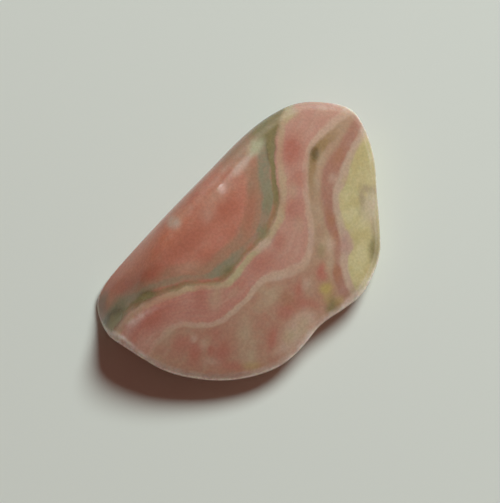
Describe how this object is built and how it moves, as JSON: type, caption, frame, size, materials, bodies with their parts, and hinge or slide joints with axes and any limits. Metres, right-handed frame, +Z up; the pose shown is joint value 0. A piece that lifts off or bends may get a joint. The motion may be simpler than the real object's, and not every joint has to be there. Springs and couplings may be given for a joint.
{
  "type": "rhodochrosite slice",
  "caption": "Loose tumbled slice of banded pink, cream and yellow rhodochrosite with a sloping polished face, lying on its flat sawn underside.",
  "frame": {"origin": "under the middle of the stone's bounding box, on the flat surface that it lies on", "axes": "+X along the slice towards its broad round end, +Y towards its long straight flank, +Z up from the surface that it lies on"},
  "size_m": [0.0332, 0.02, 0.0081],
  "materials": {
    "polished_rhodochrosite": "tumble-polished to a soft wax-like gloss"
  },
  "bodies": {
    "root": {"rhodochrosite_slice": "polished_rhodochrosite"}
  },
  "joints": []
}
